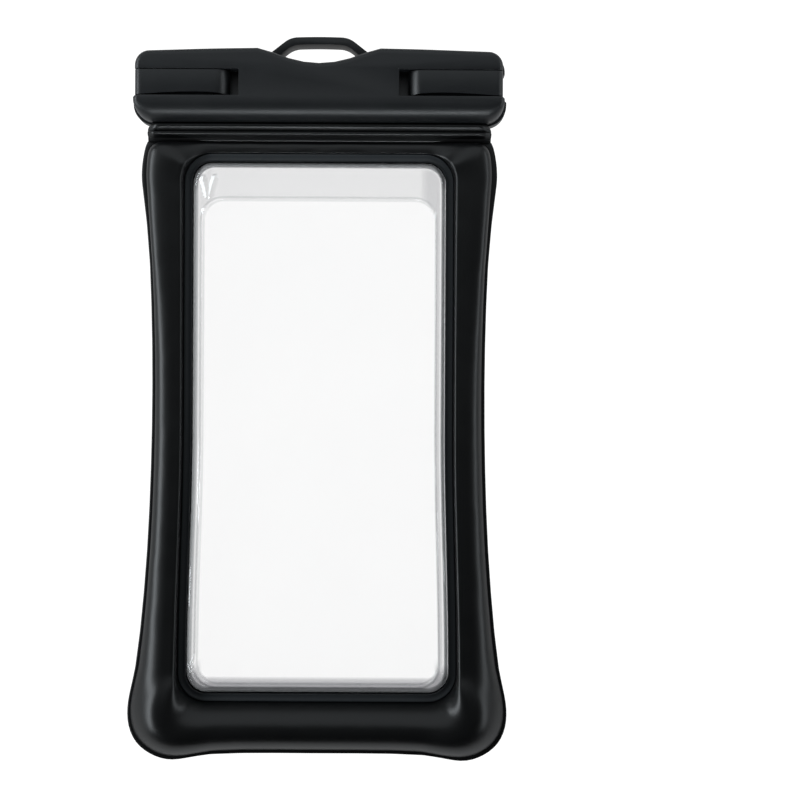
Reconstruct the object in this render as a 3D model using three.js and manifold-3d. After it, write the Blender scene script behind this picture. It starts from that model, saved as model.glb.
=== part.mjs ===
// Waterproof phone pouch: two clear windows held in an inflated black frame, whose mouth is
// pinched shut between two bars with a swinging latch at each end and a carrying loop on top.
// Millimetres. It lies on its back: +X across it, +Y towards the clamp, +Z out of its front.
// The origin is on the surface that it lies on, under the middle of its outline.

import * as THREE from "three";
import { mergeVertices } from "three/addons/utils/BufferGeometryUtils.js";
import Module from "manifold-3d";

const wasm = await Module();
wasm.setup();

// Overall
const POUCH_LENGTH = 249.6; // from the tips of the bottom ears to the top of the carrying loop
const FILM = 0.5; // every film, black or clear
const PLAY = 0.3; // between pieces that touch or run in each other

// Clamp bars
const CLAMP_HEIGHT = 24; // along Y, at the ends
const REAR_BAR_HALF_WIDTH = 64.4;
const REAR_BAR_THICKNESS = 8.8;
const REAR_BAR_TOP_CORNER = 5.2;
const REAR_BAR_BOTTOM_CORNER = 7.2;
const REAR_BAR_EDGE = 1.4; // rounding of its back edge
const FRONT_BAR_INSET = 1; // narrower than the rear bar, at each end
const FRONT_BAR_HALF_WIDTH = REAR_BAR_HALF_WIDTH - FRONT_BAR_INSET;
const END_STEP = 0.6; // both bars are narrower from the latches up
const FRONT_BAR_THICKNESS = 9.3; // above the films
const FRONT_BAR_SETBACK = 0.5; // from the rear bar's bottom edge
const FRONT_BAR_TOP_CORNER = 5;
const FRONT_EDGE = 1.8; // rounding round the front face, at its sides and top
const FRONT_BELLY = 6; // rounding at its bottom
const FRONT_BAR_BOTTOM_CORNER = FRONT_BELLY + 0.8;
const TOP_CROWN = 1.4; // rise of the top edge towards the middle
const DIP_DEPTH = 5.2; // finger dip in the top edge, in front of the loop
const DIP_HALF_WIDTH = 19.8;
const DIP_SHOULDER = 1.2; // above 1 it eases into the top edge

// Carrying loop
const LOOP_RISE = 6.1; // above the top edge at the ends of the clamp
const LOOP_BAR = 2.5; // thickness of the strip that it is bent from
const LOOP_FLAT_HALF_WIDTH = 9.8;
const LOOP_CROWN = 0.5;
const LOOP_BEND = 2.6; // rounding where the flat turns down into the legs
const LOOP_LEG_SLOPE = 38; // degrees
const LOOP_BACK_Z = 2;
const LOOP_FRONT_Z = 12.4;

// Latches
const LATCH_WIDTH = 8.4; // along Y
const LATCH_DROP = 10.6; // its middle below the clamp's top edge
const LATCH_ARM = 2.2; // thickness of the arm round the end of the bars
const LATCH_TAB = 2.4; // thickness of the tab on the front face
const LATCH_LENGTH = 32.3; // from the outer face to the tip of the tab
const LATCH_CORNER = 2.6;
const LATCH_TIP_RUN = 4.6; // how much of the tab curves down
const LATCH_TIP_DROP = 3.4;
const LATCH_TIP_END = 1.3; // thickness of the tip's end
const LATCH_WAIST = 0.9; // hollow in the tab's lower edge, for a fingernail
const LATCH_NOTCH = 3.2; // gap beyond the tip
const LATCH_SWING_ROOM = 1.3; // behind the curved tip, which moves outwards as it lifts
const BARREL_RADIUS = 2.4;
const PIVOT_Z = 5;
const PIN_RADIUS = 1;
const PIN_PLAY = 0.12;
const PIN_OVERHANG = 3.2; // into the bar on each side of the latch

// Seals between the bars and the films
const SEAL_WIDTH = 3;
const SEAL_THICKNESS = 1.9;
const SEAL_PROUD = 0.3;
const SEAL_END_GAP = 2.5; // short of the film's edge, at each end
const SEAL_RISE = 9; // its middle above the clamp's bottom edge

// Mouth films
const TOP_HALF_WIDTH = 58.9; // of the films and the frame where they join
const MOUTH_INSET = 1.4; // narrower inside the clamp, on each side
const MOUTH_HALF_WIDTH = TOP_HALF_WIDTH - MOUTH_INSET;
const MOUTH_TOP_GAP = 4.4; // film's top edge below the clamp's
const MOUTH_GAP = 2.7; // between the clamp and the inflated frame
const MOUTH_LAP = 3.3; // film welded over the frame's top flange
const MOUTH_ROLL = 1.6; // rise of the roll below the clamp

// Inflated frame
const UPPER_EAR_HALF_WIDTH = 61.3;
const UPPER_EAR_DROP = 13; // below the frame's top edge
const WAIST_HALF_WIDTH = 57.3;
const WAIST_DROP = 87;
const LOWER_EAR_HALF_WIDTH = 65.6;
const LOWER_EAR_RISE = 14.2; // of its widest place above the tip
const EAR_TIP_X = 50;
const BOTTOM_RISE = 2.9; // of the bottom edge's middle above the ear tips
const FLANGE = 1.1; // welded edge outside the inflated part
const TOP_FLANGE = MOUTH_LAP + PLAY;
const EAR_FLANGE = 1.6; // and how much wider it is at the upper ears
const EAR_FLANGE_REACH = 14;
const CUSHION_SPAN = 14; // width over which the cushion's height levels off
const CUSHION_BULGE = 0.44; // power of its section, 0.5 for an ellipse

// Windows
const SIDE_BORDER = 13.7; // from the opening to the waist
const TOP_BORDER = 10.1;
const BOTTOM_BORDER = 23.7;
const WINDOW_CORNER = 7;
const WINDOW_FLARE = 1.6; // wider at the bottom, on each side
const LIP_WIDTH = 2.8; // black band welded on the clear film
const LIP_RISE = 2.2; // of its face above the frame's middle plane
const WINDOW_LAP = 2.3; // clear film under the band
const POCKET_HALF_DEPTH = 5; // from the middle plane to the clear film's inner face
const WALL_START = 0.4; // the film's wall, measured inwards from the opening
const WALL_END = 2;
const STEP_RISE = 0.6; // from the film's tray up to its raised middle
const STEP_RUN = 0.4;
const RAISED_SIDE_MARGIN = 3; // from the opening to the raised middle
const RAISED_BOTTOM_MARGIN = 2.2;
const RAISED_TOP_MARGIN = 12.4;
const RAISED_CORNER = 7.6;

// Places that follow from those sizes
const LOOP_TOP_Y = POUCH_LENGTH / 2;
const EAR_TIP_Y = -POUCH_LENGTH / 2;
const CLAMP_TOP_Y = LOOP_TOP_Y - LOOP_RISE;
const CLAMP_BOTTOM_Y = CLAMP_TOP_Y - CLAMP_HEIGHT;
const LATCH_Y = CLAMP_TOP_Y - LATCH_DROP;
const STEP_Y = LATCH_Y - LATCH_WIDTH / 2 - PLAY;
const SEAL_Y = CLAMP_BOTTOM_Y + SEAL_RISE;
const MOUTH_TOP_Y = CLAMP_TOP_Y - MOUTH_TOP_GAP;
const FRAME_TOP_Y = CLAMP_BOTTOM_Y - MOUTH_GAP;
const REAR_FILM_Z = REAR_BAR_THICKNESS + PLAY;
const FRONT_FILM_Z = REAR_FILM_Z + FILM + PLAY;
const FRONT_FACE_Z = FRONT_FILM_Z + FILM + PLAY + FRONT_BAR_THICKNESS;
const MID_Z = FRONT_FILM_Z - PLAY / 2;
const LATCH_OUTER_X = FRONT_BAR_HALF_WIDTH - END_STEP;
const PIVOT_X = LATCH_OUTER_X - BARREL_RADIUS;
const TAB_FLOOR_Z = FRONT_FACE_Z - LATCH_TAB - PLAY;
const TIP_X = LATCH_OUTER_X - LATCH_LENGTH;
const BEYOND = 5; // how far a cutter reaches past what it cuts

// Smoothness
const CORNER_STEPS = 8;
const LONG_SIDE_STEPS = 12;
const SHORT_SIDE_STEPS = 6;
const OUTLINE_STEPS = 240;
const CUSHION_STEPS = 10;
const EDGE_STEPS = 5;
const BELLY_STEPS = 10;
const TOP_EDGE_STEPS = 22;
const CURVE_STEPS = 6;
const PIN_SIDES = 24;

const blackTpu = new THREE.MeshStandardMaterial({ color: 0x17181a, roughness: 0.42, metalness: 0 });
const blackAbs = new THREE.MeshStandardMaterial({ color: 0x222427, roughness: 0.5, metalness: 0 });
const clearTpu = new THREE.MeshStandardMaterial({
  color: 0xeef1f3, roughness: 0.08, metalness: 0, transparent: true, opacity: 0.25,
});
const silicone = new THREE.MeshStandardMaterial({ color: 0xc9cccd, roughness: 0.6, metalness: 0 });
const steel = new THREE.MeshStandardMaterial({ color: 0xb4b6b8, roughness: 0.3, metalness: 1 });

const mix = (a, b, t) => a + (b - a) * t;

// Turns a closed geometry into a solid that can be joined and cut.
function solid(geometry) {
  const bare = geometry.clone();
  for (const name of ["normal", "uv"]) bare.deleteAttribute(name);
  const merged = mergeVertices(bare);
  return new wasm.Manifold(new wasm.Mesh({
    numProp: 3,
    vertProperties: new Float32Array(merged.attributes.position.array),
    triVerts: new Uint32Array(merged.index.array),
  }));
}

function geometryOf(manifold) {
  const { numProp, vertProperties, triVerts } = manifold.getMesh();
  const geometry = new THREE.BufferGeometry();
  const places = new THREE.InterleavedBuffer(vertProperties, numProp);
  geometry.setAttribute("position", new THREE.InterleavedBufferAttribute(places, 3, 0));
  geometry.setIndex(new THREE.BufferAttribute(triVerts, 1));
  return geometry;
}

// A box between two corners.
function block([x0, y0, z0], [x1, y1, z1]) {
  const box = new THREE.BoxGeometry(Math.abs(x1 - x0), Math.abs(y1 - y0), Math.abs(z1 - z0));
  return solid(box.translate((x0 + x1) / 2, (y0 + y1) / 2, (z0 + z1) / 2));
}

// A flat outline in X and Y, given its thickness between two heights.
function plate(outline, z0, z1) {
  const shape = new THREE.Shape(outline.map(([x, y]) => new THREE.Vector2(x, y)));
  const extruded = new THREE.ExtrudeGeometry(shape, { depth: z1 - z0, bevelEnabled: false });
  return solid(extruded.translate(0, 0, z0));
}

// An outline in X and Z, extruded along Y.
function upright(outline, y0, y1) {
  const shape = new THREE.Shape(outline.map(([x, z]) => new THREE.Vector2(x, z)));
  const extruded = new THREE.ExtrudeGeometry(shape, { depth: y1 - y0, bevelEnabled: false });
  return solid(extruded.rotateX(Math.PI / 2).translate(0, y1, 0));
}

// An outline in Y and Z, extruded along X and centred on the middle of the pouch.
function across(outline, halfWidth) {
  const shape = new THREE.Shape(outline.map(([y, z]) => new THREE.Vector2(y, z)));
  const extruded = new THREE.ExtrudeGeometry(shape, { depth: 2 * halfWidth, bevelEnabled: false });
  extruded.rotateX(Math.PI / 2).rotateZ(Math.PI / 2);
  return solid(extruded.translate(-halfWidth, 0, 0));
}

// A round rod along Y.
function rod(x, z, radius, y0, y1) {
  const cylinder = new THREE.CylinderGeometry(radius, radius, y1 - y0, PIN_SIDES);
  return cylinder.translate(x, (y0 + y1) / 2, z);
}

function geometryFrom(points, faces) {
  const geometry = new THREE.BufferGeometry();
  geometry.setAttribute("position", new THREE.Float32BufferAttribute(points.flat(), 3));
  geometry.setIndex(faces);
  return geometry;
}

// Joins loops of equal length, each counter-clockwise seen from +Z, from the lowest face of the
// skin to its highest, and closes both ends.
function skin(loops) {
  const count = loops[0].length;
  const faces = [];
  for (let k = 0; k + 1 < loops.length; k += 1) {
    for (let i = 0; i < count; i += 1) {
      const [a, b] = [k * count + i, k * count + ((i + 1) % count)];
      faces.push(a, b, b + count, a, b + count, a + count);
    }
  }
  for (const [k, flip] of [[0, true], [loops.length - 1, false]]) {
    const flat = loops[k].map(([x, y]) => new THREE.Vector2(x, y));
    for (const [a, b, c] of THREE.ShapeUtils.triangulateShape(flat, [])) {
      const face = flip ? [a, c, b] : [a, b, c];
      faces.push(...face.map((i) => k * count + i));
    }
  }
  return geometryFrom(loops.flat(), faces);
}

// Joins closed sections all the way round a ring.
function ring(sections) {
  const count = sections[0].length;
  const faces = [];
  sections.forEach((_, k) => {
    const next = (k + 1) % sections.length;
    for (let i = 0; i < count; i += 1) {
      const j = (i + 1) % count;
      faces.push(k * count + i, next * count + i, next * count + j);
      faces.push(k * count + i, next * count + j, k * count + j);
    }
  });
  return geometryFrom(sections.flat(), faces);
}

// Stations round a rectangle with round corners: each has the centre of its corner, or the place
// beside it on the line between two, and the direction in which it looks outwards.
function stations(halfWidth, bottom, top, corner) {
  const [x, low, high] = [halfWidth - corner, bottom + corner, top - corner];
  const centres = [[x, low], [x, high], [-x, high], [-x, low]];
  const found = [];
  centres.forEach(([cx, cy], i) => {
    const [nx, ny] = centres[(i + 1) % centres.length];
    const start = (i - 1) * 90;
    for (let k = 0; k <= CORNER_STEPS; k += 1) {
      found.push({ x: cx, y: cy, angle: start + (90 * k) / CORNER_STEPS });
    }
    const steps = i % 2 === 0 ? LONG_SIDE_STEPS : SHORT_SIDE_STEPS;
    for (let k = 1; k < steps; k += 1) {
      found.push({ x: mix(cx, nx, k / steps), y: mix(cy, ny, k / steps), angle: start + 90 });
    }
  });
  return found.map(({ x: sx, y: sy, angle }) => {
    const turn = THREE.MathUtils.degToRad(angle);
    const flare = WINDOW_FLARE * (1 - THREE.MathUtils.smoothstep(sy, low, (low + high) / 2));
    return { x: sx + Math.sign(sx) * flare, y: sy, dx: Math.cos(turn), dy: Math.sin(turn) };
  });
}

const loopAt = (places, distance, z) =>
  places.map(({ x, y, dx, dy }) => [x + dx * distance, y + dy * distance, z]);

// Clamp bars

// The clamp's top edge: it rises a little to the middle and dips there for a finger.
function topEdge(x) {
  const crown = TOP_CROWN * (1 - (x / REAR_BAR_HALF_WIDTH) ** 2);
  const across = Math.max(0, 1 - (x / DIP_HALF_WIDTH) ** 2);
  return CLAMP_TOP_Y + crown - DIP_DEPTH * across ** DIP_SHOULDER;
}

// A bar's outline, counter-clockwise, drawn in by an inset at its sides, top and bottom.
function barOutline({ halfWidth, bottom, topCorner, bottomCorner }, side, top, low) {
  const half = halfWidth - side;
  const points = [];
  const arc = (cx, cy, rx, ry, from) => {
    for (let k = 0; k <= CORNER_STEPS; k += 1) {
      const turn = THREE.MathUtils.degToRad(from + (90 * k) / CORNER_STEPS);
      points.push([cx + rx * Math.cos(turn), cy + ry * Math.sin(turn)]);
    }
  };
  const bx = halfWidth - bottomCorner;
  const by = bottom + bottomCorner;
  arc(-bx, by, bottomCorner - side, bottomCorner - low, 180);
  arc(bx, by, bottomCorner - side, bottomCorner - low, 270);
  const tx = halfWidth - END_STEP - topCorner;
  const ty = topEdge(tx) - topCorner;
  points.push([half, STEP_Y - END_STEP], [half - END_STEP, STEP_Y]);
  arc(tx, ty, topCorner - side, topCorner - top, 0);
  for (let k = 1; k < TOP_EDGE_STEPS; k += 1) {
    const x = mix(tx, -tx, k / TOP_EDGE_STEPS);
    points.push([x, topEdge(x) - top]);
  }
  arc(-tx, ty, topCorner - side, topCorner - top, 90);
  points.push([END_STEP - half, STEP_Y], [-half, STEP_Y - END_STEP]);
  return points;
}

const frontBarShape = {
  halfWidth: FRONT_BAR_HALF_WIDTH,
  bottom: CLAMP_BOTTOM_Y + FRONT_BAR_SETBACK,
  topCorner: FRONT_BAR_TOP_CORNER,
  bottomCorner: FRONT_BAR_BOTTOM_CORNER,
};
const rearBarShape = {
  halfWidth: REAR_BAR_HALF_WIDTH,
  bottom: CLAMP_BOTTOM_Y,
  topCorner: REAR_BAR_TOP_CORNER,
  bottomCorner: REAR_BAR_BOTTOM_CORNER,
};

const atHeight = (outline, z) => outline.map(([x, y]) => [x, y, z]);
const bandLow = STEP_Y;
const bandHigh = LATCH_Y + LATCH_WIDTH / 2 + PLAY;

// The room that the two films need between the bars, open at the clamp's bottom edge.
function filmRoom(z0, z1) {
  const half = MOUTH_HALF_WIDTH + PLAY;
  return block([-half, CLAMP_BOTTOM_Y - BEYOND, z0], [half, MOUTH_TOP_Y + PLAY, z1]);
}

function sealGroove(z0, z1) {
  const half = MOUTH_HALF_WIDTH - SEAL_END_GAP + PLAY;
  const reach = SEAL_WIDTH / 2 + PLAY;
  return block([-half, SEAL_Y - reach, z0], [half, SEAL_Y + reach, z1]);
}

// How far an edge of that radius has drawn in at a depth below the face.
const rounding = (radius, depth) =>
  (depth >= radius ? 0 : radius - Math.sqrt(radius ** 2 - (radius - depth) ** 2));

function frontBar() {
  const base = REAR_BAR_THICKNESS + PLAY;
  const face = FRONT_FACE_Z;
  const loops = [atHeight(barOutline(frontBarShape, 0, 0, 0), base)];
  for (let k = 0; k <= BELLY_STEPS; k += 1) {
    const depth = FRONT_BELLY * (1 - Math.sin(((Math.PI / 2) * k) / BELLY_STEPS));
    const edge = rounding(FRONT_EDGE, depth);
    const outline = barOutline(frontBarShape, edge, edge, rounding(FRONT_BELLY, depth));
    loops.push(atHeight(outline, face - depth));
  }
  const ceiling = FRONT_FILM_Z + FILM + PLAY + SEAL_PROUD;
  let bar = solid(skin(loops))
    .subtract(filmRoom(base - BEYOND, ceiling))
    .subtract(sealGroove(base, ceiling + SEAL_THICKNESS - SEAL_PROUD + PLAY));
  const outside = FRONT_BAR_HALF_WIDTH + BEYOND;
  const notchEnd = TIP_X - LATCH_NOTCH;
  const pocketStart = TIP_X + LATCH_TIP_RUN + LATCH_SWING_ROOM;
  const pocketFloor = TAB_FLOOR_Z - LATCH_TIP_DROP;
  for (const side of [-1, 1]) {
    const channel = block(
      [side * notchEnd, bandLow, TAB_FLOOR_Z], [side * outside, bandHigh, face + BEYOND],
    );
    const pocket = block(
      [side * notchEnd, bandLow, pocketFloor], [side * pocketStart, bandHigh, face],
    );
    const endSlot = block(
      [side * (LATCH_OUTER_X - LATCH_ARM - PLAY), bandLow, base - BEYOND],
      [side * outside, bandHigh, face],
    );
    bar = bar.subtract(channel).subtract(pocket).subtract(endSlot);
  }
  return geometryOf(bar);
}

// The carrying loop: a strip bent into a low arch that runs down into the rear bar.
function carryingLoop() {
  const slope = THREE.MathUtils.degToRad(LOOP_LEG_SLOPE);
  const run = LOOP_RISE + DIP_DEPTH;
  const edge = (inset) => {
    const y = LOOP_TOP_Y - inset;
    const x = LOOP_FLAT_HALF_WIDTH - inset * Math.tan(slope / 2);
    const path = new THREE.Path();
    path.moveTo(-x - run / Math.tan(slope), y - run);
    path.lineTo(-x - LOOP_BEND * Math.cos(slope), y - LOOP_BEND * Math.sin(slope));
    path.quadraticCurveTo(-x, y - LOOP_CROWN / 4, -x + LOOP_BEND, y - LOOP_CROWN / 4);
    path.quadraticCurveTo(0, y + LOOP_CROWN / 4, x - LOOP_BEND, y - LOOP_CROWN / 4);
    path.quadraticCurveTo(
      x, y - LOOP_CROWN / 4, x + LOOP_BEND * Math.cos(slope), y - LOOP_BEND * Math.sin(slope),
    );
    path.lineTo(x + run / Math.tan(slope), y - run);
    return path.getPoints(CURVE_STEPS).map((p) => [p.x, p.y]);
  };
  const arch = plate([...edge(0), ...edge(LOOP_BAR).reverse()], LOOP_BACK_Z, LOOP_FRONT_Z);
  const room = barOutline(frontBarShape, -PLAY, -PLAY, -PLAY);
  return arch.subtract(plate(room, REAR_BAR_THICKNESS, LOOP_FRONT_Z + BEYOND));
}

function rearBar() {
  const loops = [];
  for (let k = 0; k <= EDGE_STEPS; k += 1) {
    const turn = ((Math.PI / 2) * k) / EDGE_STEPS;
    const inset = REAR_BAR_EDGE * (1 - Math.sin(turn));
    const outline = barOutline(rearBarShape, inset, inset, inset);
    loops.push(atHeight(outline, REAR_BAR_EDGE * (1 - Math.cos(turn))));
  }
  loops.push(atHeight(barOutline(rearBarShape, 0, 0, 0), REAR_BAR_THICKNESS));
  const top = REAR_BAR_THICKNESS;
  const floor = top - SEAL_PROUD;
  let bar = solid(skin(loops))
    .add(carryingLoop())
    .subtract(filmRoom(floor, top + PLAY))
    .subtract(sealGroove(floor - SEAL_THICKNESS + SEAL_PROUD - PLAY, top));
  const hole = PIN_RADIUS + PIN_PLAY;
  const holeEnd = LATCH_Y - LATCH_WIDTH / 2 - PIN_OVERHANG - PLAY;
  for (const side of [-1, 1]) {
    const notch = block(
      [side * (PIVOT_X - BARREL_RADIUS - PLAY), bandLow, -BEYOND],
      [side * (REAR_BAR_HALF_WIDTH + BEYOND), bandHigh, top + BEYOND],
    );
    const bore = solid(rod(side * PIVOT_X, PIVOT_Z, hole, holeEnd, CLAMP_TOP_Y + BEYOND));
    bar = bar.subtract(notch).subtract(bore);
  }
  return geometryOf(bar);
}

// Latches

// One latch in its own plane: u runs inwards from its outer face, and z up.
function latchProfile() {
  const top = FRONT_FACE_Z;
  const under = top - LATCH_TAB;
  const armTop = Math.acos((BARREL_RADIUS - LATCH_ARM) / BARREL_RADIUS);
  const fillet = 2 * PLAY;
  const bend = LATCH_LENGTH - LATCH_TIP_RUN;
  const path = new THREE.Path();
  path.moveTo(0, PIVOT_Z);
  path.absarc(BARREL_RADIUS, PIVOT_Z, BARREL_RADIUS, Math.PI, 3 * Math.PI - armTop, false);
  path.lineTo(LATCH_ARM, under - fillet);
  path.quadraticCurveTo(LATCH_ARM, under, LATCH_ARM + fillet, under);
  path.lineTo(bend - LATCH_TAB / 2, under);
  path.quadraticCurveTo(
    bend + LATCH_TIP_RUN / 2, under, LATCH_LENGTH, top - LATCH_TIP_DROP - LATCH_TIP_END,
  );
  path.lineTo(LATCH_LENGTH, top - LATCH_TIP_DROP);
  path.quadraticCurveTo(bend + LATCH_TIP_RUN / 2, top, bend, top);
  path.lineTo(LATCH_CORNER, top);
  path.quadraticCurveTo(0, top, 0, top - LATCH_CORNER);
  return path.getPoints(CURVE_STEPS);
}

function latch(side) {
  const place = (u) => side * (LATCH_OUTER_X - u);
  const [low, high] = [LATCH_Y - LATCH_WIDTH / 2, LATCH_Y + LATCH_WIDTH / 2];
  const body = upright(latchProfile().map((p) => [place(p.x), p.y]), low, high);
  const hole = PIN_RADIUS + PIN_PLAY;
  const bore = solid(rod(side * PIVOT_X, PIVOT_Z, hole, low - BEYOND, high + BEYOND));
  const hollow = new THREE.Path();
  hollow.moveTo(LATCH_CORNER, low);
  hollow.quadraticCurveTo(LATCH_LENGTH * 0.75, low + 2 * LATCH_WAIST, LATCH_LENGTH - 1, low);
  hollow.lineTo(LATCH_LENGTH - 1, low - BEYOND);
  hollow.lineTo(LATCH_CORNER, low - BEYOND);
  const nail = hollow.getPoints(CURVE_STEPS).map((p) => [place(p.x), p.y]);
  const cut = plate(nail, TAB_FLOOR_Z - LATCH_TIP_DROP, FRONT_FACE_Z + BEYOND);
  return geometryOf(body.subtract(bore).subtract(cut));
}

function latchPin(side) {
  const reach = LATCH_WIDTH / 2 + PIN_OVERHANG;
  return rod(side * PIVOT_X, PIVOT_Z, PIN_RADIUS, LATCH_Y - reach, LATCH_Y + reach);
}

// Seals

function seal(z) {
  const half = MOUTH_HALF_WIDTH - SEAL_END_GAP;
  const strip = new THREE.BoxGeometry(2 * half, SEAL_WIDTH, SEAL_THICKNESS);
  return strip.translate(0, SEAL_Y, z + SEAL_THICKNESS / 2);
}

// Mouth films

// Front film when side is 1 and rear film when it is -1: flat between the bars, then a soft roll
// below them, then a lap welded over the frame's top flange.
function mouthFilm(side) {
  const start = FRAME_TOP_Y - MOUTH_LAP;
  const inClamp = CLAMP_BOTTOM_Y - PLAY;
  const level = PLAY / 2;
  const lap = level + FILM + PLAY;
  const roll = lap + MOUTH_ROLL;
  const inner = [
    [MOUTH_TOP_Y, level],
    [inClamp, level],
    [mix(FRAME_TOP_Y, inClamp, 0.72), mix(lap, roll, 0.6)],
    [mix(FRAME_TOP_Y, inClamp, 0.42), roll],
    [mix(FRAME_TOP_Y, inClamp, 0.16), mix(lap, roll, 0.6)],
    [FRAME_TOP_Y, lap],
    [start, lap],
  ];
  const outer = inner.map(([y, h]) => [y, h + FILM]).reverse();
  const profile = [...inner, ...outer].map(([y, h]) => [y, MID_Z + side * h]);
  const strip = across(profile, TOP_HALF_WIDTH);
  const clampEdge = CLAMP_BOTTOM_Y - PLAY;
  const flare = clampEdge - (TOP_HALF_WIDTH - MOUTH_HALF_WIDTH);
  const cut = [-1, 1].map((s) => plate(
    [
      [s * MOUTH_HALF_WIDTH, MOUTH_TOP_Y + BEYOND],
      [s * MOUTH_HALF_WIDTH, clampEdge],
      [s * TOP_HALF_WIDTH, flare],
      [s * (TOP_HALF_WIDTH + BEYOND), flare],
      [s * (TOP_HALF_WIDTH + BEYOND), MOUTH_TOP_Y + BEYOND],
    ],
    MID_Z - roll - BEYOND, MID_Z + roll + BEYOND,
  ));
  return geometryOf(strip.subtract(cut[0]).subtract(cut[1]));
}

// Inflated frame

const rightEdge = [
  [TOP_HALF_WIDTH, FRAME_TOP_Y],
  [UPPER_EAR_HALF_WIDTH, FRAME_TOP_Y - UPPER_EAR_DROP],
  [WAIST_HALF_WIDTH + 1.4, FRAME_TOP_Y - 3 * UPPER_EAR_DROP],
  [WAIST_HALF_WIDTH, FRAME_TOP_Y - WAIST_DROP],
  [WAIST_HALF_WIDTH + 1.4, EAR_TIP_Y + 5.3 * LOWER_EAR_RISE],
  [mix(WAIST_HALF_WIDTH, LOWER_EAR_HALF_WIDTH, 0.6), EAR_TIP_Y + 2.45 * LOWER_EAR_RISE],
  [LOWER_EAR_HALF_WIDTH, EAR_TIP_Y + LOWER_EAR_RISE],
  [mix(EAR_TIP_X, LOWER_EAR_HALF_WIDTH, 0.74), EAR_TIP_Y + 0.35 * LOWER_EAR_RISE],
  [EAR_TIP_X, EAR_TIP_Y],
  [0.82 * EAR_TIP_X, EAR_TIP_Y + 0.72 * BOTTOM_RISE],
  [0, EAR_TIP_Y + BOTTOM_RISE],
];
const leftEdge = rightEdge.slice(0, -1).reverse().map(([x, y]) => [-x, y]);
const outlineCurve = new THREE.CatmullRomCurve3(
  [...rightEdge, ...leftEdge].map(([x, y]) => new THREE.Vector3(x, y, 0)), false, "centripetal",
);
const outline = outlineCurve.getPoints(OUTLINE_STEPS);

// How far the frame's outer edge is from a place, along a direction.
function reachOf({ x, y, dx, dy }) {
  const hits = outline.map((a, i) => {
    const b = outline[(i + 1) % outline.length];
    const [ex, ey] = [b.x - a.x, b.y - a.y];
    const turn = dx * ey - dy * ex;
    const along = ((a.x - x) * ey - (a.y - y) * ex) / turn;
    const share = ((a.x - x) * dy - (a.y - y) * dx) / turn;
    return share >= 0 && share <= 1 && along > 0 ? along : Infinity;
  });
  return Math.min(...hits);
}

const opening = {
  half: WAIST_HALF_WIDTH - SIDE_BORDER,
  bottom: EAR_TIP_Y + BOTTOM_BORDER,
  top: FRAME_TOP_Y - TOP_BORDER,
};
const openingStations = stations(opening.half, opening.bottom, opening.top, WINDOW_CORNER);

// Where the inflated part starts and ends at each station, measured out from the opening.
const cushions = openingStations.map((station) => {
  const reach = reachOf(station);
  const y = station.y + station.dy * reach;
  const fromEar = (y - FRAME_TOP_Y + UPPER_EAR_DROP) / EAR_FLANGE_REACH;
  const flange = FLANGE + EAR_FLANGE * Math.exp(-(fromEar ** 2));
  const edge = reach - WINDOW_CORNER;
  const toLap = station.dy > 0 ? (FRAME_TOP_Y - TOP_FLANGE - station.y) / station.dy : Infinity;
  const end = Math.min(edge - flange, toLap - WINDOW_CORNER);
  return { station, edge, end, width: end - LIP_WIDTH };
});
const widest = Math.max(...cushions.map(({ width }) => width));

// An inflated tube is nearly as thick as it is wide, until the film can't follow. The widest
// place, at the lower ears, is as deep as the clamp, so that the pouch lies flat on both.
const fullness = (width) => 1 - Math.exp(-width / CUSHION_SPAN);
const cushionHeight = (width) => (MID_Z * fullness(width)) / fullness(widest);

// Front half of the frame when side is 1, and rear half when it is -1.
function airFrame(side) {
  const flat = PLAY / 2;
  const flange = flat + FILM;
  const sections = cushions.map(({ station, edge, end, width }) => {
    const height = cushionHeight(width);
    const section = [
      [LIP_WIDTH, flat],
      [edge, flat],
      [edge, flange],
      [end, flange],
    ];
    for (let k = 1; k < CUSHION_STEPS; k += 1) {
      const share = (1 - Math.cos((Math.PI * k) / CUSHION_STEPS)) / 2;
      const base = mix(flange, LIP_RISE, share);
      const bulge = (1 - (2 * share - 1) ** 2) ** CUSHION_BULGE;
      section.push([mix(end, LIP_WIDTH, share), base + (height - base) * bulge]);
    }
    section.push([LIP_WIDTH, LIP_RISE], [0, LIP_RISE], [0, LIP_RISE - FILM]);
    section.push([LIP_WIDTH, LIP_RISE - FILM]);
    const { x, y, dx, dy } = station;
    const points = section.map(([distance, h]) => {
      const out = WINDOW_CORNER + distance;
      return [x + dx * out, y + dy * out, MID_Z + side * h];
    });
    return side > 0 ? points : points.reverse();
  });
  return ring(sections);
}

// Windows

// A clear film, welded under the band of the frame, that rises from it in a wall to a tray and
// then by a small step to its raised middle. Front when side is 1, rear when it is -1.
function clearWindow(side) {
  const raised = stations(
    opening.half - RAISED_SIDE_MARGIN,
    opening.bottom + RAISED_BOTTOM_MARGIN,
    opening.top - RAISED_TOP_MARGIN,
    RAISED_CORNER,
  );
  const top = POCKET_HALF_DEPTH + FILM;
  const weld = LIP_RISE - FILM - PLAY;
  const outer = (drop) => [
    [openingStations, WINDOW_CORNER + WINDOW_LAP, weld - drop],
    [openingStations, WINDOW_CORNER - WALL_START, weld - drop],
    [openingStations, WINDOW_CORNER - WALL_END, top - STEP_RISE - drop],
    [raised, RAISED_CORNER + STEP_RUN, top - STEP_RISE - drop],
    [raised, RAISED_CORNER, top - drop],
  ];
  const profile = [...outer(FILM).reverse(), ...outer(0)];
  const ordered = side > 0 ? profile : profile.reverse();
  return skin(ordered.map(([places, out, h]) => loopAt(places, out, MID_Z + side * h)));
}

const pouch = new THREE.Group();
const put = (name, geometry, material) => {
  const mesh = new THREE.Mesh(geometry, material);
  mesh.name = name;
  pouch.add(mesh);
};

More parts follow.
